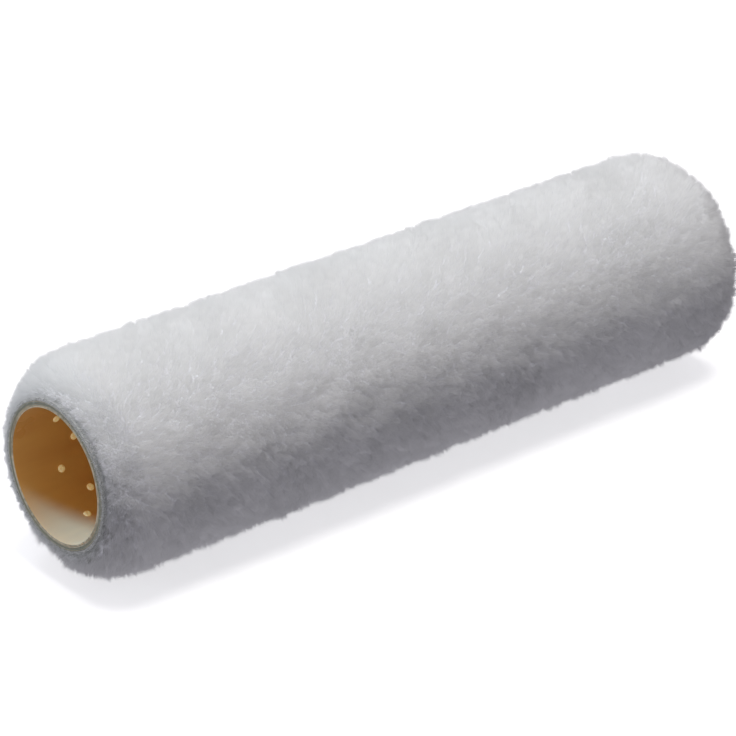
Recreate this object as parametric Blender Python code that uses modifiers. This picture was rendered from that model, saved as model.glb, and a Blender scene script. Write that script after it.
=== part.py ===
"""Paint roller cover: a spiral-wound core of resin-soaked paper with a nap fabric glued round it.

Metres, +Z up. The bore's axis is the X axis and the origin is the middle of the bore, so the
cover lies on its side. Every layer is its own solid, in the order it goes on the mandrel.
"""

import math

import bpy

# Driving dimensions.
COVER_LENGTH = 0.2286  # 9 in cover
BORE_DIAMETER = 0.0381  # 1 1/2 in, slides over a standard cage
PLY_THICKNESS = 0.00042  # one strip of core paper
PLY_NAMES = ("core_inner_ply", "core_middle_ply", "core_outer_ply")
GLUE_THICKNESS = 0.0002
BACKING_THICKNESS = 0.0009  # knitted ground of the nap fabric
NAP_HEIGHT = 0.0101  # pile above the backing
STRIP_WIDTH = 0.073  # paper and fabric strips alike, 2 7/8 in
SEAM_GAP = 0.0004  # axial gap left where a strip's edges butt
BOND_LINE = 0.0001  # between one layer and the next
BEVEL_LENGTH = 0.0100  # how far in from each end the nap is bevelled
CUT_EDGE = 0.0005  # square edge of the nap beside the backing
BEVEL_FULLNESS = 1.5  # 1 is a straight bevel, 2 is a round one
BEVEL_STEPS = 8
FACETS = 48  # flats round every layer, lined up so that no two layers touch
TRIM_MARGIN = 0.02  # how far the trimming block stands outside the nap

# Worked out from the sizes above.
BORE_RADIUS = BORE_DIAMETER / 2
WINDING_SINE = STRIP_WIDTH / (math.pi * BORE_DIAMETER)
STRIP_PITCH = STRIP_WIDTH / math.sqrt(1 - WINDING_SINE**2)  # advance per turn
CORE_RADIUS = BORE_RADIUS + len(PLY_NAMES) * (PLY_THICKNESS + BOND_LINE)
BACKING_RADIUS = CORE_RADIUS + GLUE_THICKNESS + BOND_LINE
NAP_ROOT_RADIUS = BACKING_RADIUS + BACKING_THICKNESS + BOND_LINE
NAP_RADIUS = NAP_ROOT_RADIUS + NAP_HEIGHT


def clear_scene():
    for obj in list(bpy.data.objects):
        bpy.data.objects.remove(obj)


def new_collection(name):
    collection = bpy.data.collections.new(name)
    bpy.context.scene.collection.children.link(collection)
    return collection


def new_material(name, colour, roughness, coat=0.0):
    material = bpy.data.materials.new(name)
    material.use_nodes = True
    shader = material.node_tree.nodes["Principled BSDF"]
    shader.inputs["Base Color"].default_value = (*colour, 1.0)
    shader.inputs["Roughness"].default_value = roughness
    shader.inputs["Metallic"].default_value = 0.0
    shader.inputs["Coat Weight"].default_value = coat
    return material


def profile_object(name, points, edges, material):
    """An object that holds only a profile, in the XZ plane, for a Screw modifier to turn."""
    mesh = bpy.data.meshes.new(name)
    mesh.from_pydata([(x, 0.0, z) for x, z in points], edges, [])
    mesh.materials.append(material)
    obj = bpy.data.objects.new(name, mesh)
    layers.objects.link(obj)
    obj.parent = bore_axis
    return obj


def add_screw(obj, advance=0.0, turns=1):
    screw = obj.modifiers.new("turn", "SCREW")
    screw.axis = "X"
    screw.angle = math.tau
    screw.screw_offset = advance
    screw.iterations = turns
    screw.steps = FACETS
    screw.render_steps = FACETS
    screw.use_smooth_shade = True
    return screw


def wound_strip(name, inner_radius, thickness, seam_shift, material):
    """A strip wound edge to edge along the mandrel and trimmed square at both ends."""
    turns = math.ceil(COVER_LENGTH / STRIP_PITCH) + 2
    start = -COVER_LENGTH / 2 - STRIP_PITCH - seam_shift
    end = start + STRIP_PITCH - SEAM_GAP
    obj = profile_object(name, [(end, inner_radius), (start, inner_radius)], [(0, 1)], material)
    add_screw(obj, advance=STRIP_PITCH, turns=turns)
    wall = obj.modifiers.new("thickness", "SOLIDIFY")
    wall.thickness = thickness
    wall.offset = 1.0
    trim = obj.modifiers.new("trim", "BOOLEAN")
    trim.operation = "INTERSECT"
    trim.solver = "EXACT"
    trim.object = trimming_block
    return obj


def turned_ring(name, outline, material):
    """A closed outline of (x, radius) points turned once round the bore's axis."""
    edges = [(i, (i + 1) % len(outline)) for i in range(len(outline))]
    obj = profile_object(name, outline, edges, material)
    add_screw(obj)
    return obj


def tube_outline(inner_radius, thickness):
    half = COVER_LENGTH / 2
    outer_radius = inner_radius + thickness
    return [(-half, inner_radius), (half, inner_radius), (half, outer_radius), (-half, outer_radius)]


def nap_outline():
    """The nap's section: a flat root on the backing, and a crown bevelled down at both ends."""
    half = COVER_LENGTH / 2
    edge_radius = NAP_ROOT_RADIUS + CUT_EDGE
    bevel = []
    for step in range(BEVEL_STEPS + 1):
        turn = math.pi / 2 * step / BEVEL_STEPS
        inward = BEVEL_LENGTH * (1 - math.cos(turn) ** (2 / BEVEL_FULLNESS))
        rise = (NAP_RADIUS - edge_radius) * math.sin(turn) ** (2 / BEVEL_FULLNESS)
        bevel.append((half - inward, edge_radius + rise))
    left = [(-x, radius) for x, radius in reversed(bevel)]
    return [(-half, NAP_ROOT_RADIUS), (half, NAP_ROOT_RADIUS), *bevel, *left]


def make_trimming_block():
    width = 2 * (NAP_RADIUS + TRIM_MARGIN)
    bpy.ops.mesh.primitive_cube_add(size=1.0)
    block = bpy.context.active_object
    block.name = "trimming_block"
    block.scale = (COVER_LENGTH, width, width)
    bpy.ops.object.transform_apply(location=False, rotation=False, scale=True)
    block.hide_render = True
    block.display_type = "WIRE"
    for collection in list(block.users_collection):
        collection.objects.unlink(block)
    helpers.objects.link(block)
    return block


def make_core(paper):
    """Three plies, one on another, with their seams spread evenly along the pitch."""
    for i, name in enumerate(PLY_NAMES):
        radius = BORE_RADIUS + i * (PLY_THICKNESS + BOND_LINE)
        wound_strip(name, radius, PLY_THICKNESS, STRIP_PITCH * i / len(PLY_NAMES), paper)


def make_fabric(backing, nap):
    wound_strip("fabric_backing", BACKING_RADIUS, BACKING_THICKNESS, STRIP_PITCH / 2, backing)
    turned_ring("fabric_pile", nap_outline(), nap)


clear_scene()
layers = new_collection("paint_roller_cover")
helpers = new_collection("cutters")
trimming_block = make_trimming_block()

bore_axis = bpy.data.objects.new("bore_axis", None)
bore_axis.rotation_euler.x = math.pi / FACETS  # half a flat, so that a flat of the nap faces down
layers.objects.link(bore_axis)

make_core(new_material("phenolic_paper", (0.42, 0.17, 0.035), 0.3, coat=0.6))
turned_ring(
    "glue_film",
    tube_outline(CORE_RADIUS, GLUE_THICKNESS),
    new_material("cured_glue", (0.78, 0.70, 0.50), 0.35),
)
make_fabric(
    new_material("knit_backing", (0.62, 0.61, 0.58), 0.9),
    new_material("white_nap", (0.86, 0.87, 0.89), 0.95),
)
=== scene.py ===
import math

import bpy
import numpy as np
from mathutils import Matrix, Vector


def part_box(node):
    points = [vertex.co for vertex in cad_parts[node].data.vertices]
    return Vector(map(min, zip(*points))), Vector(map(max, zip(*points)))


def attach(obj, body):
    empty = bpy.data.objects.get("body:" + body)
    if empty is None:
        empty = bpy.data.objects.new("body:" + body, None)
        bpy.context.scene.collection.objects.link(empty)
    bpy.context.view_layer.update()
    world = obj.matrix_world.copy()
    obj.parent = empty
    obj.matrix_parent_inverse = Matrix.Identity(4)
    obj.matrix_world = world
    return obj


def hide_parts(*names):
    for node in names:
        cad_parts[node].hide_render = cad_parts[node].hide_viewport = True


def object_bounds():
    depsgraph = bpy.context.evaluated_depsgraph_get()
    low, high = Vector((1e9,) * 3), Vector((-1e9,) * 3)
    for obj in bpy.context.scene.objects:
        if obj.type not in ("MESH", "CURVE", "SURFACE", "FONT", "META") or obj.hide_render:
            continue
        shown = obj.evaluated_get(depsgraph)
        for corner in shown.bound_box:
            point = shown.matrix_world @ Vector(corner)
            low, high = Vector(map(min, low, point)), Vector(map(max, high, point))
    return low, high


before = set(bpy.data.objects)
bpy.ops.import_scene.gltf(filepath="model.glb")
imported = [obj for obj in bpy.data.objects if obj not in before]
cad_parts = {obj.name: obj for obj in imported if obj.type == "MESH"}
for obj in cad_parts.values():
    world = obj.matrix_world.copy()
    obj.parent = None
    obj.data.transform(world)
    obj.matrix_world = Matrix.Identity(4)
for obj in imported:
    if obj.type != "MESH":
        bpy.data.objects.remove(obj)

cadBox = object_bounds()
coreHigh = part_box("core_inner_ply")[1]
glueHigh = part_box("glue_film")[1]
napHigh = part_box("fabric_pile")[1]
halfLength = coreHigh.x
mm = 0.001
# the CAD's rings have 48 facets, and their boxes reach only the middle of a facet
facetMiddle = math.cos(math.pi / 48)
farAway = 1e9


# small helpers

def deselectAll():
    bpy.ops.object.select_all(action="DESELECT")


def pick(obj):
    deselectAll()
    obj.select_set(True)
    bpy.context.view_layer.objects.active = obj


def applyModifiers(obj):
    pick(obj)
    for modifier in list(obj.modifiers):
        bpy.ops.object.modifier_apply(modifier=modifier.name)


def mergeSeam(obj, distance):
    pick(obj)
    bpy.ops.object.mode_set(mode="EDIT")
    bpy.ops.mesh.select_all(action="SELECT")
    bpy.ops.mesh.remove_doubles(threshold=distance)
    bpy.ops.object.mode_set(mode="OBJECT")


def trimEnds(obj):
    # cut square to the cover's length
    pick(obj)
    bpy.ops.object.mode_set(mode="EDIT")
    for side in (-1, 1):
        bpy.ops.mesh.select_all(action="SELECT")
        bpy.ops.mesh.bisect(plane_co=(side * halfLength, 0, 0), plane_no=(side, 0, 0), clear_outer=True)
    bpy.ops.object.mode_set(mode="OBJECT")


def shadeSmooth(obj, sharpAngle):
    pick(obj)
    bpy.ops.object.shade_smooth_by_angle(angle=math.radians(sharpAngle))


def gridPiece(name, columns, rows, place):
    # a flat grid whose points place(across, along) moves into shape, both running from 0 to 1
    deselectAll()
    bpy.ops.mesh.primitive_grid_add(x_subdivisions=columns, y_subdivisions=rows, size=1.0)
    obj = bpy.context.active_object
    obj.name = name
    flat = np.empty(len(obj.data.vertices) * 3, np.float32)
    obj.data.vertices.foreach_get("co", flat)
    flat = flat.reshape(-1, 3) + 0.5
    obj.data.vertices.foreach_set("co", place(flat[:, 0], flat[:, 1]).astype(np.float32).ravel())
    obj.data.update()
    return obj


def roundAxis(x, radius, angle):
    # angle 0 is straight up, and grows towards the back
    return np.stack([x, radius * np.sin(angle), radius * np.cos(angle)], axis=-1)


def meshFromArrays(name, points, triangles):
    mesh = bpy.data.meshes.new(name)
    mesh.vertices.add(len(points))
    mesh.vertices.foreach_set("co", points.astype(np.float32).ravel())
    mesh.loops.add(triangles.size)
    mesh.loops.foreach_set("vertex_index", triangles.astype(np.int32).ravel())
    mesh.polygons.add(len(triangles))
    mesh.polygons.foreach_set("loop_start", np.arange(0, triangles.size, 3, dtype=np.int32))
    mesh.update(calc_edges=True)
    return mesh


def unit(vectors):
    return vectors / np.maximum(np.linalg.norm(vectors, axis=-1, keepdims=True), 1e-12)


def smooth(share):
    share = np.clip(share, 0, 1)
    return share * share * (3 - 2 * share)


class Relief:
    # many small waves in random directions: a lumpy height that closes round the cover with no seam
    def __init__(self, shortest, longest, count, seed):
        draw = np.random.default_rng(seed)
        # wavelengths between the shortest and the longest; longer waves stand higher
        lengths = shortest * (longest / shortest) ** draw.random(count)
        self.waves = unit(draw.normal(size=(count, 3))) * (math.tau / lengths)[:, None]
        self.phases = draw.random(count) * math.tau
        self.heights = lengths / math.sqrt((lengths**2).sum() / 2)

    def at(self, points):
        # height (about 1 rms) and its slope
        turn = points @ self.waves.T + self.phases
        height = np.sin(turn) @ self.heights
        slope = (np.cos(turn) * self.heights) @ self.waves
        return height, slope


# materials: a node's output socket that works in plain arithmetic

class Link:
    def __init__(self, tree, socket):
        self.tree = tree
        self.socket = socket

    def math(self, operation, *values):
        node = self.tree.nodes.new("ShaderNodeMath")
        node.operation = operation
        for socket, value in zip(node.inputs, values):
            if isinstance(value, Link):
                self.tree.links.new(value.socket, socket)
            else:
                socket.default_value = value
        return Link(self.tree, node.outputs[0])

    def __add__(self, other):
        return self.math("ADD", self, other)

    __radd__ = __add__

    def __sub__(self, other):
        return self.math("SUBTRACT", self, other)

    def __rsub__(self, other):
        return self.math("SUBTRACT", other, self)

    def __mul__(self, other):
        return self.math("MULTIPLY", self, other)

    __rmul__ = __mul__

    def __pow__(self, other):
        return self.math("POWER", self, other)


class Finish:
    # one material: constants sit on the shader's own sockets, and feed() links what varies
    def __init__(self, name, colour, roughness, **constants):
        self.material = bpy.data.materials.new(name)
        self.material.use_nodes = True
        self.tree = self.material.node_tree
        self.shader = self.tree.nodes["Principled BSDF"]
        self.shader.inputs["Base Color"].default_value = (*colour, 1.0)
        self.shader.inputs["Roughness"].default_value = roughness
        for key, value in constants.items():
            self.shader.inputs[key.replace("_", " ")].default_value = value

    def add(self, kind, settings, values, output=0):
        node = self.tree.nodes.new("ShaderNode" + kind)
        for key, value in settings.items():
            setattr(node, key, value)
        for key, value in values.items():
            if isinstance(value, Link):
                self.tree.links.new(value.socket, node.inputs[key])
            else:
                node.inputs[key].default_value = value
        return Link(self.tree, node.outputs[output])

    def place(self):
        return self.add("TexCoord", {}, {}, "Object")

    def axis(self, place, name):
        return self.add("SeparateXYZ", {}, {"Vector": place}, name)

    def noise(self, place, scale, detail=2.0, roughness=0.5):
        values = {"Vector": place, "Scale": scale, "Detail": detail, "Roughness": roughness}
        return self.add("TexNoise", {}, values)

    def step(self, value, low, high, towards0=0.0, towards1=1.0):
        # a smooth step from towards0 to towards1
        settings = {"interpolation_type": "SMOOTHSTEP"}
        return self.add("MapRange", settings, {0: value, 1: low, 2: high, 3: towards0, 4: towards1})

    def attribute(self, name):
        return self.add("Attribute", {"attribute_name": name}, {}, "Fac")

    def mix(self, share, first, second):
        # a colour Mix has its share on input 0, its colours on 6 and 7, and its result on output 2
        values = {0: share}
        for socket, colour in ((6, first), (7, second)):
            values[socket] = colour if isinstance(colour, Link) else (*colour, 1.0)
        return self.add("Mix", {"data_type": "RGBA"}, values, 2)

    def bump(self, height, depth, strength=1.0):
        return self.add("Bump", {}, {"Height": height, "Distance": depth, "Strength": strength})

    def feed(self, **links):
        for key, link in links.items():
            self.tree.links.new(link.socket, self.shader.inputs[key.replace("_", " ")])


# camera

view = {
    "lens": 189.6,
    "distance": 1.09,
    "azimuth": -40.2,
    "elevation": 25.9,
    "aimRight": -17.15,
    "aimUp": -13.03,
    "frameWidth": 736,  # aimRight and aimUp count steps, and this many make the frame's width
    "sensor": 36.0,
    "clipStart": 0.05,
    "clipEnd": 20.0,
}


def addCamera():
    azimuth = math.radians(view["azimuth"])
    elevation = math.radians(view["elevation"])
    back = Vector((
        math.sin(azimuth) * math.cos(elevation),
        -math.cos(azimuth) * math.cos(elevation),
        math.sin(elevation),
    ))
    data = bpy.data.cameras.new("camera")
    data.sensor_width = view["sensor"]
    data.lens = view["lens"]
    data.clip_start = view["clipStart"]
    data.clip_end = view["clipEnd"]
    camera = bpy.data.objects.new("camera", data)
    bpy.context.scene.collection.objects.link(camera)
    camera.location = back * view["distance"]
    right = Vector((0, 0, 1)).cross(back).normalized()
    up = back.cross(right)
    step = view["sensor"] / view["frameWidth"] / view["lens"] * view["distance"]
    aim = right * view["aimRight"] * step + up * view["aimUp"] * step
    camera.rotation_euler = (aim - camera.location).to_track_quat("-Z", "Y").to_euler()
    bpy.context.scene.camera = camera


addCamera()
print("camera placed")

# floor, world and lights

studio = {
    "floorSize": 6.0,
    "floorGap": 0.6 * mm,
    "floorLight": (0.94, 0.94, 0.94),
    "floorDark": (0.90, 0.90, 0.90),
    "floorGrain": 40.0,
    "floorGlow": 0.5,
    "ambient": 0.42,
    "ambientColour": (1.03, 1.0, 1.09, 1.0),
    "backdrop": 1.0,
    "lamps": [
        # name, direction it comes from, distance, size, watts, colour, and highlights only or not
        ("overhead", (0.02, -0.12, 1.0), 1.8, 0.7, 14.4, (1.02, 1.0, 0.97), False),
        ("back", (0.0, 0.42, 0.85), 1.5, 0.4, 2.8, (0.95, 1.0, 1.06), False),
        ("left", (-0.70, 0.70, 0.15), 1.5, 0.4, 3.9, (0.95, 1.0, 1.04), False),
        ("boreGlint", (-0.43, 0.44, 0.79), 1.5, 0.4, 102.0, (0.62, 0.98, 0.98), True),
        ("bounce", (0.0, -0.35, -1.0), 1.2, 0.8, 1.3, (1.0, 0.98, 1.06), False),
    ],
}


def addFloor():
    deselectAll()
    level = cadBox[0].z - studio["floorGap"]
    bpy.ops.mesh.primitive_plane_add(size=studio["floorSize"], location=(0, 0, level))
    floor = bpy.context.active_object
    floor.name = "floor"
    paper = Finish("floorPaper", studio["floorLight"], 0.9, Specular_IOR_Level=0.0)
    grain = paper.noise(paper.place(), studio["floorGrain"])
    paper.feed(Base_Color=paper.mix(grain, studio["floorDark"], studio["floorLight"]))
    paper.shader.inputs["Emission Color"].default_value = (1.0, 1.0, 1.0, 1.0)
    paper.shader.inputs["Emission Strength"].default_value = studio["floorGlow"]
    floor.data.materials.append(paper.material)
    floor.visible_diffuse = False
    floor.visible_glossy = False
    floor.visible_shadow = False  # light from below still reaches the underside


def addWorld():
    # the camera sees a white backdrop, and everything else a dimmer, faintly tinted ambient light
    world = bpy.data.worlds.new("studio")
    bpy.context.scene.world = world
    world.use_nodes = True
    tree = world.node_tree
    background = tree.nodes["Background"]
    ray = tree.nodes.new("ShaderNodeLightPath")
    backdrop = tree.nodes.new("ShaderNodeBackground")
    backdrop.inputs["Strength"].default_value = studio["backdrop"]
    backdrop.inputs["Color"].default_value = (1.0, 1.0, 1.0, 1.0)
    background.inputs["Strength"].default_value = studio["ambient"]
    background.inputs["Color"].default_value = studio["ambientColour"]
    either = tree.nodes.new("ShaderNodeMixShader")
    tree.links.new(ray.outputs["Is Camera Ray"], either.inputs[0])
    tree.links.new(background.outputs[0], either.inputs[1])
    tree.links.new(backdrop.outputs[0], either.inputs[2])
    tree.links.new(either.outputs[0], tree.nodes["World Output"].inputs["Surface"])


def addLamp(name, direction, distance, size, power, colour, highlightOnly):
    data = bpy.data.lights.new(name, "AREA")
    data.shape = "DISK"
    data.size = size
    data.energy = power
    data.color = colour
    lamp = bpy.data.objects.new(name, data)
    bpy.context.scene.collection.objects.link(lamp)
    towards = Vector(direction).normalized()
    lamp.location = towards * distance
    lamp.rotation_euler = towards.to_track_quat("Z", "Y").to_euler()
    lamp.visible_camera = False
    lamp.visible_diffuse = not highlightOnly


addFloor()
addWorld()
for lamp in studio["lamps"]:
    addLamp(*lamp)
bpy.context.scene.view_settings.view_transform = "Standard"
print("floor and lights done")

# core: three wound plies of resin-soaked paper

core = {
    "plyThickness": 0.42 * mm,
    "bondLine": 0.1 * mm,
    "stripWidth": 73.0 * mm,
    "seamGap": 0.35 * mm,
    "edgeLift": 0.05 * mm,  # the strip's edges curl up this much beside a seam
    "edgeReach": 1.2 * mm,
    "steps": 144,
    "columns": 26,
    "outerColumns": 8,
    "resin": (0.78, 0.40, 0.055),
    "resinDark": (0.69, 0.32, 0.032),
    "fleck": (0.76, 0.36, 0.06),
    "cutPaper": (0.60, 0.52, 0.37),
    "cutPaperDark": (0.30, 0.25, 0.16),
    "cutOuterDark": (0.20, 0.20, 0.15),
    "firstSeam": 0.6,  # where the inner ply's seam meets the left end, in turns from straight up
    # the paper's pattern: noise scales, and how far the dark outer band wanders on the cut ends
    "streakScale": (40.0, 160.0, 160.0),
    "fleckScale": 900.0,
    "poolScale": 70.0,
    "outerDarkWander": 1.0 * mm,
    "grainDepth": 0.05 * mm,
}
plyNames = ("core_inner_ply", "core_middle_ply", "core_outer_ply")
boreRadius = coreHigh.z / facetMiddle - core["plyThickness"]
windingSine = core["stripWidth"] / (math.tau * boreRadius)
stripPitch = core["stripWidth"] / math.sqrt(1 - windingSine**2)


def woundStrip(name, radius, thickness, shift, columns, lift):
    # one strip wound edge to edge, from a turn before the left end to past the right end
    turns = math.ceil(2 * halfLength / stripPitch) + 2
    gap = core["seamGap"]

    def place(across, along):
        # columns crowd towards the strip's edges, where the paper lifts
        spread = 0.5 - 0.5 * np.cos(np.pi * across)
        x = -halfLength - stripPitch - shift + stripPitch * turns * along + (stripPitch - gap) * spread
        toEdge = np.minimum(spread, 1 - spread) * stripPitch
        rise = lift * np.exp(-(toEdge / core["edgeReach"]) ** 2)
        return roundAxis(x, radius - rise, math.tau * turns * along)

    strip = gridPiece(name, columns, core["steps"] * turns, place)
    trimEnds(strip)
    wall = strip.modifiers.new("thickness", "SOLIDIFY")
    wall.thickness = thickness
    wall.offset = 1.0
    applyModifiers(strip)
    shadeSmooth(strip, 30)
    return strip


def resinPaper():
    paper = Finish("resinPaper", core["resin"], 0.55, Coat_Roughness=0.75, Coat_IOR=2.0)
    place = paper.place()
    x = paper.axis(place, "X")
    # long soft streaks along the winding, and fine paper fibre
    stretched = paper.add("Mapping", {}, {"Vector": place, "Scale": core["streakScale"]})
    streaks = paper.noise(stretched, 1.0, 3.0)
    flecks = paper.noise(place, core["fleckScale"], 2.0)
    pools = paper.noise(place, core["poolScale"], 2.0)
    blotches = paper.step(streaks * 0.6 + pools * 0.4, 0.32, 0.68)
    body = paper.mix(blotches, core["resinDark"], core["resin"])
    body = paper.mix(paper.step(flecks, 0.60, 0.78, 0.0, 0.35), body, core["fleck"])
    cutEnd = paper.step(x.math("ABSOLUTE", x), halfLength - 0.12 * mm, halfLength - 0.02 * mm)
    cutBlotches = paper.step(flecks * 0.5 + pools * 0.5, 0.38, 0.62)
    cutColour = paper.mix(cutBlotches, core["cutPaperDark"], core["cutPaper"])
    # the outer plies' cut ends are darker
    y = paper.axis(place, "Y")
    z = paper.axis(place, "Z")
    fromAxis = (y * y + z * z) ** 0.5
    outerDarkFrom = boreRadius + 1.5 * core["plyThickness"]
    wander = (pools - 0.5) * core["outerDarkWander"]
    darkening = paper.step(fromAxis + wander, outerDarkFrom, outerDarkFrom + core["plyThickness"])
    cutColour = paper.mix(darkening, cutColour, core["cutOuterDark"])
    paper.feed(
        Base_Color=paper.mix(cutEnd, body, cutColour),
        Roughness=paper.step(pools, 0.3, 0.7, 0.26, 0.40) + cutEnd * 0.4,
        Coat_Weight=1.0 - cutEnd * 1.0,
        Normal=paper.bump(streaks * 0.6 + flecks * 0.4, core["grainDepth"], 0.3),
    )
    return paper.material


paperFinish = resinPaper()
for number, name in enumerate(plyNames):
    # only the inner ply's face is seen, so only it gets fine columns and lifted edges
    finePly = number == 0
    ply = woundStrip(
        "corePly%d" % (number + 1),
        boreRadius + number * (core["plyThickness"] + core["bondLine"]),
        core["plyThickness"],
        stripPitch * (core["firstSeam"] + number / len(plyNames)),
        core["columns"] if finePly else core["outerColumns"],
        core["edgeLift"] if finePly else 0.0,
    )
    ply.data.materials.append(paperFinish)
    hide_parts(name)
    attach(ply, "root")
print("core wound")

# pips: adhesive pushed through two staggered rows of punched holes near each end

pips = {
    "rows": (14.0 * mm, 20.0 * mm),
    "perRow": 8,
    "firstAngle": 73.5,  # from straight up, towards the back
    "radius": 1.1 * mm,
    "height": 0.5 * mm,
    "dimple": 0.25 * mm,
    "dimpleWidth": 0.35,  # in radii
    "pale": (1.0, 0.92, 0.62),
    "dark": (0.72, 0.50, 0.22),
    "paintedGlow": 0.17,  # painted light: a faint glow stands in for daylight let through the translucent glue
    "paintedGlowColour": (1.0, 0.66, 0.18, 1.0),
}


def domePip():
    # a low dome, with a dimple where the glue sank as it cured
    deselectAll()
    bpy.ops.mesh.primitive_uv_sphere_add(segments=16, ring_count=8, radius=pips["radius"])
    pip = bpy.context.active_object
    for vertex in pip.data.vertices:
        away = math.hypot(vertex.co.x, vertex.co.y) / pips["radius"]
        vertex.co.z *= pips["height"] / pips["radius"]
        vertex.co.z -= pips["dimple"] * math.exp(-(away / pips["dimpleWidth"]) ** 2)
    bpy.ops.object.shade_smooth()
    return pip


def makePips():
    pattern = domePip()
    copies = []
    stagger = 180.0 / pips["perRow"]
    for side in (-1, 1):
        for row, depth in enumerate(pips["rows"]):
            for number in range(pips["perRow"]):
                angle = math.radians(pips["firstAngle"] + stagger * (2 * number + row))
                pip = pattern.copy()
                pip.data = pattern.data.copy()
                bpy.context.scene.collection.objects.link(pip)
                x = side * (halfLength - depth)
                pip.location = (x, boreRadius * math.sin(angle), boreRadius * math.cos(angle))
                pip.rotation_euler = (math.pi - angle, 0, 0)
                copies.append(pip)
    bpy.data.objects.remove(pattern)
    deselectAll()
    for pip in copies:
        pip.select_set(True)
    bpy.context.view_layer.objects.active = copies[0]
    bpy.ops.object.join()
    joined = bpy.context.active_object
    joined.name = "gluePips"
    bpy.ops.object.transform_apply(location=True, rotation=True, scale=True)
    return joined


gluePips = makePips()
# the pips' faint emission is painted light
pipFinish = Finish(
    "pipGlue", pips["pale"], 0.45,
    Emission_Color=pips["paintedGlowColour"], Emission_Strength=pips["paintedGlow"],
)
pipTone = pipFinish.noise(pipFinish.place(), 1500.0, 2.0)
pipFinish.feed(
    Base_Color=pipFinish.mix(pipFinish.step(pipTone, 0.25, 0.6), pips["dark"], pips["pale"]),
    Roughness=pipFinish.step(pipTone, 0.3, 0.7, 0.35, 0.55),
)
gluePips.data.materials.append(pipFinish.material)
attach(gluePips, "root")
print("pips done")

# glue film: the CAD ring, with a better finish

glue = {
    "dark": (0.24, 0.23, 0.17),
    "light": (0.60, 0.54, 0.38),
}
glueFinish = Finish("curedGlue", glue["light"], 0.4)
glueTone = glueFinish.noise(glueFinish.place(), 700.0, 3.0)
glueFinish.feed(
    Base_Color=glueFinish.mix(glueTone, glue["dark"], glue["light"]),
    Roughness=glueFinish.step(glueTone, 0.3, 0.7, 0.3, 0.6),
)
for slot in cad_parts["glue_film"].material_slots:
    slot.material = glueFinish.material

# fabric backing: a knitted strip wound over the glue

backing = {
    "thickness": 0.9 * mm,
    "clearance": 0.1 * mm,
    "light": (0.62, 0.62, 0.60),
    "dark": (0.27, 0.27, 0.26),
    "courses": 2300.0,
    "columns": 8,
}
backingRadius = glueHigh.z / facetMiddle + backing["clearance"]


def knitFinish():
    knit = Finish("knitBacking", backing["light"], 0.9, Specular_IOR_Level=0.1)
    place = knit.place()
    loops = knit.add("TexVoronoi", {}, {"Vector": place, "Scale": backing["courses"], "Randomness": 0.7})
    speckle = knit.noise(place, 1800.0, 2.0)
    tone = knit.step(loops * 0.6 + speckle * 0.5, 0.35, 0.75)
    knit.feed(
        Base_Color=knit.mix(tone, backing["light"], backing["dark"]),
        Roughness=knit.step(speckle, 0.3, 0.7, 0.8, 1.0),
        Normal=knit.bump(1 - loops, 0.15 * mm, 0.8),
    )
    return knit.material


knit = woundStrip(
    "knitBacking", backingRadius, backing["thickness"],
    stripPitch / 2, backing["columns"], 0.0,
)
knit.data.materials.append(knitFinish())
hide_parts("fabric_backing")
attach(knit, "root")
print("backing wound")

# nap: a lumpy mat with dense fibres standing on it

nap = {
    "crownRadius": napHigh.z / facetMiddle,
    "fibreLength": 2.9 * mm,
    "matEndRadius": 22.1 * mm,
    "rootClearance": 0.1 * mm,
    "matEndInset": 0.9 * mm,
    "shoulderLength": 8.6 * mm,
    "shoulderFullness": 1.4,
    "shoulderSteps": 60,
    "sectionSteps": 1200,
    "matColumns": 220,
    "matRootColumns": 5,
    "matRows": 190,
    # clipping of each shoulder: its mean, how far it tips to one side, and that side's angle
    "bevelLeft": (0.85 * mm, 0.85 * mm, 30.0),
    "bevelRight": (-0.2 * mm, 0.6 * mm, -20.0),
    "bevelPlace": 6.5 * mm,
    "bevelWidth": 5.0 * mm,
    "rimReach": 2.0 * mm,
    "crushed": 1.1 * mm,  # towards the right end the nap lies this much flatter underneath
    "crushedAcross": 30.0,  # the angle where it doesn't
    "crushedReach": 8.0 * mm,  # it fades out this near the rim
    "mergeDistance": 0.05 * mm,
    "lumpHeight": 0.16 * mm,
    # shortest and longest wave, and how many
    "lumpWaves": (5 * mm, 18 * mm, 60),
    "brushWaves": (14 * mm, 45 * mm, 24),
    "fibres": 440000,
    "sections": 8,
    "fibreRadius": 0.08 * mm,
    "tuftSize": 2.6 * mm,
    "tuftPull": 0.28,
    # shares of the mean: the least, and how much chance adds
    "pullRange": (0.6, 0.8),
    "girthRange": (0.75, 0.5),
    "rootDepth": 0.4 * mm,
    "tuftUneven": 0.12,
    "ownUneven": 0.13,
    "tuftLean": 0.12,
    "brushLean": 0.10,
    "ownLean": 0.13,
    "stubbleReach": 4.0 * mm,  # near each end the fibres are clipped short and carry dark specks, painted shade where they gather towards the front
    "stubbleLength": 0.42,
    "stubbleSpeckShade": 4.5,
    "shadedSide": -100.0,  # where the dark specks gather as painted shade: towards the front, just below level
    "shadeTuft": 0.14,
    "shadeLean": 0.10,
    "shadeLump": 0.6,
    "tuftTone": 0.10,
    "ownTone": 0.08,
    "seed": 41,
    # colours of the fibres and of the mat under them; the plain ones sit on the shaders' own sockets. The
    # darker root and mat colours are painted shade deep in the pile
    "fibrePlain": (0.86, 0.87, 0.89),
    "fibreLight": (0.89, 0.895, 0.90),
    "fibreDim": (0.83, 0.835, 0.84),
    "fibreSpeckShade": (0.36, 0.37, 0.35),
    "fibreRootShade": (0.76, 0.765, 0.77),
    "matPlain": (0.74, 0.75, 0.77),
    "matLight": (0.84, 0.85, 0.88),
    "matShade": (0.58, 0.58, 0.60),
}
matRadius = nap["crownRadius"] - nap["fibreLength"]
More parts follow.
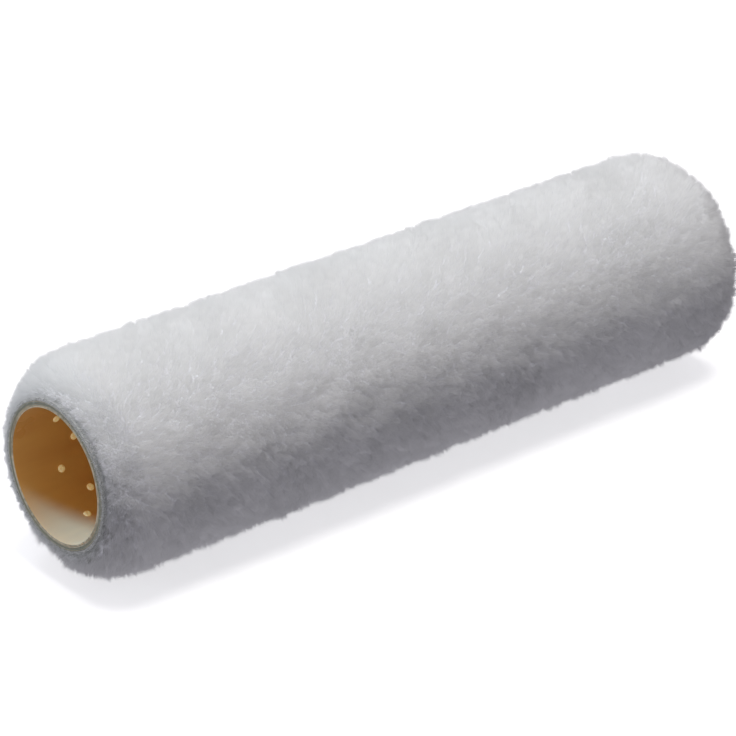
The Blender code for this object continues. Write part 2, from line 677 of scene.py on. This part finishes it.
lumps = Relief(*nap["lumpWaves"], nap["seed"])
brush = Relief(*nap["brushWaves"], nap["seed"] + 1)
brushAcross = Relief(*nap["brushWaves"], nap["seed"] + 2)


def matSection():
    # distance along the section, x, radius, and the outward normal, from the left end to the right
    turn = np.linspace(0, math.pi / 2, nap["shoulderSteps"])
    power = 2 / nap["shoulderFullness"]
    inward = nap["shoulderLength"] * (1 - np.cos(turn) ** power)
    rise = (matRadius - nap["matEndRadius"]) * np.sin(turn) ** power
    endX = halfLength - nap["matEndInset"]
    leftX = -endX + inward
    left = np.stack([leftX, nap["matEndRadius"] + rise], axis=1)
    right = left[::-1] * (-1, 1)
    points = np.concatenate([left, right])
    stepLengths = np.linalg.norm(np.diff(points, axis=0), axis=1)
    run = np.concatenate([[0], np.cumsum(stepLengths)])
    even = np.linspace(0, run[-1], nap["sectionSteps"])
    x = np.interp(even, run, points[:, 0])
    radius = np.interp(even, run, points[:, 1])
    slopeX = np.gradient(x, even)
    slopeR = np.gradient(radius, even)
    normal = unit(np.stack([-slopeR, slopeX], axis=1))
    return even, x, radius, normal


sectionRun, sectionX, sectionR, sectionN = matSection()


def onMat(along, angle):
    # where the mat's surface is, and its outward normal, clipped and crushed unevenly
    x = np.interp(along, sectionRun, sectionX)
    radius = np.interp(along, sectionRun, sectionR)
    nx = np.interp(along, sectionRun, sectionN[:, 0])
    nr = np.interp(along, sectionRun, sectionN[:, 1])
    fromRim = np.minimum(along, sectionRun[-1] - along)
    evenLeft, tiltLeft, sideLeft = nap["bevelLeft"]
    evenRight, tiltRight, sideRight = nap["bevelRight"]
    cutLeft = evenLeft + tiltLeft * np.cos(angle - math.radians(sideLeft))
    cutRight = evenRight + tiltRight * np.cos(angle - math.radians(sideRight))
    onShoulder = np.exp(-(((fromRim - nap["bevelPlace"]) / nap["bevelWidth"]) ** 2))
    onShoulder *= smooth(fromRim / nap["rimReach"])
    cut = np.where(x < 0, cutLeft, cutRight) * onShoulder
    underneath = 0.5 - 0.5 * np.cos(angle - math.radians(nap["crushedAcross"]))
    crushed = nap["crushed"] * underneath * smooth(0.5 + x / halfLength)
    cut += crushed * smooth(fromRim / nap["crushedReach"])
    point = roundAxis(x - nx * cut, radius - nr * cut, angle)
    normal = unit(roundAxis(nx, nr, angle))
    return point, normal


def makeMat():
    # a closed ring: the crown takes most of the columns, and the last few run back along the root
    columns = nap["matColumns"]
    crownShare = (columns - nap["matRootColumns"]) / columns
    rootRadius = backingRadius + backing["thickness"] + nap["rootClearance"]

    def place(across, along):
        angle = along * math.tau
        point, normal = onMat(np.minimum(across / crownShare, 1) * sectionRun[-1], angle)
        point = point + normal * (lumps.at(point)[0] * nap["lumpHeight"])[:, None]
        back = (across - crownShare) / (1 - crownShare)
        endX = halfLength - nap["matEndInset"]
        root = roundAxis(endX * (1 - 2 * back), rootRadius + 0 * back, angle)
        return np.where((back > 0)[:, None], root, point)

    mat = gridPiece("napMat", columns, nap["matRows"], place)
    mergeSeam(mat, nap["mergeDistance"])
    shadeSmooth(mat, 60)
    return mat


def tuftOf(point, along, angle, draw):
    # the nearest of the scattered tuft centres, found in a jittered grid over the section and the angle
    size = nap["tuftSize"]
    rows = int(sectionRun[-1] / size) + 1
    columns = int(math.tau * nap["crownRadius"] / size)
    jitter = draw.random((rows, columns, 2))
    row = np.clip((along / size).astype(int), 0, rows - 1)
    column = (angle / math.tau * columns).astype(int) % columns
    best = np.full(len(along), farAway)
    tuft = np.zeros(len(along), int)
    centre = np.zeros((len(along), 3))
    for rowStep in (-1, 0, 1):
        for columnStep in (-1, 0, 1):
            nearRow = np.clip(row + rowStep, 0, rows - 1)
            nearColumn = (column + columnStep) % columns
            where = (nearRow + jitter[nearRow, nearColumn, 0]) * size
            turn = (nearColumn + jitter[nearRow, nearColumn, 1]) / columns * math.tau
            candidate, _ = onMat(np.clip(where, 0, sectionRun[-1]), turn)
            away = np.linalg.norm(candidate - point, axis=1)
            closer = away < best
            best[closer] = away[closer]
            tuft[closer] = (nearRow * columns + nearColumn)[closer]
            centre[closer] = candidate[closer]
    return tuft, centre, rows * columns


def spikes(name, root, tip, girth, shade, tone, finish, draw):
    # three-sided fibres, open at the root, which is buried
    count = len(root)
    shaft = unit(tip - root)
    side = unit(np.cross(shaft, draw.normal(size=(count, 3))))
    other = np.cross(shaft, side)
    corners = np.empty((count, 4, 3))
    for corner in range(3):
        turn = math.tau * corner / 3
        corners[:, corner] = root + (math.cos(turn) * side + math.sin(turn) * other) * girth[:, None]
    corners[:, 3] = tip
    first = np.arange(count)[:, None] * 4
    triangles = np.stack([first + (0, 1, 3), first + (1, 2, 3), first + (2, 0, 3)], axis=1).reshape(-1, 3)
    mesh = meshFromArrays(name, corners.reshape(-1, 3), triangles)
    mesh.shade_smooth()
    # shading follows the nap's surface, as on real plush, and not each fibre's own sides
    mesh.normals_split_custom_set_from_vertices(np.repeat(shade, 4, axis=0))
    towardsTip = mesh.attributes.new("depth", "FLOAT", "POINT")
    towardsTip.data.foreach_set("value", np.tile([0.0, 0.0, 0.0, 1.0], count).astype(np.float32))
    shadeOf = mesh.attributes.new("tone", "FLOAT", "POINT")
    shadeOf.data.foreach_set("value", np.repeat(tone, 4).astype(np.float32))
    mesh.materials.append(finish)
    fibres = bpy.data.objects.new(name, mesh)
    bpy.context.scene.collection.objects.link(fibres)
    fibres.visible_shadow = False
    fibres.shadow_terminator_geometry_offset = 0.0
    return fibres


def makeFibres(finish):
    draw = np.random.default_rng(nap["seed"] + 3)
    count = nap["fibres"]
    # even cover: more are drawn where the section's radius is larger
    weight = np.cumsum(sectionR)
    along = np.sort(np.interp(draw.random(count), weight / weight[-1], sectionRun))
    angle = draw.random(count) * math.tau
    point, normal = onMat(along, angle)
    height, slope = lumps.at(point)
    # a fibre leans with its tuft, with the way the nap was brushed, and a little by itself
    root = point + normal * (height * nap["lumpHeight"])[:, None]
    slope -= (slope * normal).sum(1, keepdims=True) * normal
    tuft, centre, tufts = tuftOf(point, along, angle, draw)
    toCentre = centre - point
    toCentre -= (toCentre * normal).sum(1, keepdims=True) * normal
    tuftLean = draw.normal(size=(tufts, 3))[tuft] * nap["tuftLean"]
    least, more = nap["pullRange"]
    pull = nap["tuftPull"] * (least + more * draw.random(tufts))[tuft]
    brushed = np.zeros((count, 3))
    brushed[:, 0] = brush.at(point)[0]
    brushed += np.cross(normal, (1.0, 0, 0)) * brushAcross.at(point)[0][:, None]
    lean = tuftLean + brushed * nap["brushLean"] + draw.normal(size=(count, 3)) * nap["ownLean"]
    lean -= (lean * normal).sum(1, keepdims=True) * normal
    # clipped short near the rims
    grown = smooth(np.minimum(along, sectionRun[-1] - along) / nap["stubbleReach"])
    length = nap["fibreLength"] * (1 + nap["tuftUneven"] * draw.normal(size=tufts)[tuft])
    length *= 1 + nap["ownUneven"] * draw.normal(size=count)
    length *= nap["stubbleLength"] + (1 - nap["stubbleLength"]) * grown
    tip = root + unit(normal + lean) * length[:, None] + toCentre * pull[:, None]
    root -= normal * nap["rootDepth"]
    least, more = nap["girthRange"]
    girth = nap["fibreRadius"] * (least + more * draw.random(count))
    shade = normal - toCentre / nap["tuftSize"] * nap["shadeTuft"] + lean * nap["shadeLean"]
    shade = unit(shade - slope * nap["lumpHeight"] * nap["shadeLump"])
    tone = 0.5 + nap["tuftTone"] * draw.normal(size=tufts)[tuft]
    tone += nap["ownTone"] * draw.normal(size=count)
    # dark specks near the rims, only towards the front: painted shade
    sideShade = nap["stubbleSpeckShade"] * (0.5 + 0.5 * np.cos(angle - math.radians(nap["shadedSide"])))
    tone -= sideShade * draw.random(tufts)[tuft] * draw.random(count) * (1 - grown)
    # in sections along the cover, as one piece would be too heavy
    made = []
    for number, part in enumerate(np.array_split(np.arange(count), nap["sections"])):
        name = "napFibres%d" % (number + 1)
        fibres = spikes(name, root[part], tip[part], girth[part], shade[part], tone[part], finish, draw)
        made.append(fibres)
    return made


def fibreFinish():
    # below tone 0.2 a fibre is darkened, fully so at -0.7: the dark specks near the rims, painted shade
    # where they gather towards the front
    pile = Finish("napPile", nap["fibrePlain"], 0.9, Specular_IOR_Level=0.1)
    tone = pile.attribute("tone")
    depth = pile.attribute("depth")
    drift = pile.noise(pile.place(), 45.0, 2.0)
    brightness = pile.step(tone * 0.7 + drift * 0.3, 0.15, 0.8)
    light = pile.mix(brightness, nap["fibreDim"], nap["fibreLight"])
    light = pile.mix(pile.step(tone, -0.7, 0.2), nap["fibreSpeckShade"], light)
    # the fibres darken towards their roots: painted shade deep in the pile, as the fibres cast no shadows
    pile.feed(
        Base_Color=pile.mix(pile.step(depth, 0.0, 0.8), nap["fibreRootShade"], light),
        Roughness=pile.step(drift, 0.3, 0.7, 0.85, 1.0),
    )
    return pile.material


def matFinish():
    mat = Finish("napMat", nap["matPlain"], 1.0, Specular_IOR_Level=0.0)
    place = mat.place()
    fine = mat.noise(place, 1400.0, 3.0)
    drift = mat.noise(place, 120.0, 2.0)
    # the mat is darker than the fibres: painted shade deep in the pile, mottled at random
    mat.feed(
        Base_Color=mat.mix(fine * 0.6 + drift * 0.4, nap["matShade"], nap["matLight"]),
        Roughness=mat.step(drift, 0.3, 0.7, 0.9, 1.0),
        Normal=mat.bump(fine, 0.3 * mm, 0.7),
    )
    return mat.material


napMat = makeMat()
napMat.data.materials.append(matFinish())
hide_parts("fabric_pile")
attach(napMat, "root")
napFibre = fibreFinish()
for fibres in makeFibres(napFibre):
    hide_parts("fabric_pile")
    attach(fibres, "root")
print("nap fibres done")

# fuzz: loose ends along the cut edge of the backing

fuzz = {
    "perEnd": 6500,
    "inside": 0.05 * mm,
    "outside": 1.35 * mm,
    "length": 0.7 * mm,
    "fibreRadius": 0.08 * mm,
    "lean": 0.32,
    "outwards": 0.15,
    "buried": 1.1 * mm,
    "shadeOutwards": 0.4,
    "shadeUneven": 0.15,
    # shares of the mean: the least, and how much chance adds
    "lengthRange": (0.5, 1.0),
    "girthRange": (0.7, 0.6),
    "clumpWaves": (37, 11, 83),  # waves round the rim, which mix into clumps
    "meanTone": 0.45,
    "clumpTone": 0.35,
    "darkening": (0.3, 1.4),  # darkening: on every side, and how much more towards the front as painted shade
    "seed": 77,
}


def makeFuzz(finish):
    draw = np.random.default_rng(fuzz["seed"])
    count = fuzz["perEnd"]
    made = []
    for number, side in enumerate((-1, 1)):
        angle = draw.random(count) * math.tau
        innermost = backingRadius + fuzz["inside"]
        radius = innermost + (fuzz["outside"] - fuzz["inside"]) * draw.random(count)
        root = roundAxis(np.full(count, side * (halfLength - fuzz["buried"])), radius, angle)
        outwards = roundAxis(np.zeros(count), 1.0, angle)
        heading = (side, 0, 0) + outwards * fuzz["outwards"] + draw.normal(size=(count, 3)) * fuzz["lean"]
        least, more = fuzz["lengthRange"]
        length = fuzz["length"] * (least + more * draw.random(count)) + fuzz["buried"]
        tip = root + unit(heading) * length[:, None]
        least, more = fuzz["girthRange"]
        girth = fuzz["fibreRadius"] * (least + more * draw.random(count))
        uneven = draw.normal(size=(count, 3)) * fuzz["shadeUneven"]
        shade = unit((side, 0, 0) + outwards * fuzz["shadeOutwards"] + uneven)
        # loose ends gather in darker and lighter clumps
        coarse, slow, fine = fuzz["clumpWaves"]
        clump = np.sin(angle * coarse + 2 * np.sin(angle * slow)) * np.sin(angle * fine + side)
        # darker towards the front, just below level: painted shade
        sideShade = 0.5 + 0.5 * np.cos(angle - math.radians(nap["shadedSide"]))
        least, more = fuzz["darkening"]
        tone = fuzz["meanTone"] + fuzz["clumpTone"] * clump - (least + more * sideShade) * draw.random(count)
        made.append(spikes("edgeFuzz%d" % (number + 1), root, tip, girth, shade, tone, finish, draw))
    return made


for fibres in makeFuzz(napFibre):
    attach(fibres, "root")
print("edge fuzz done")
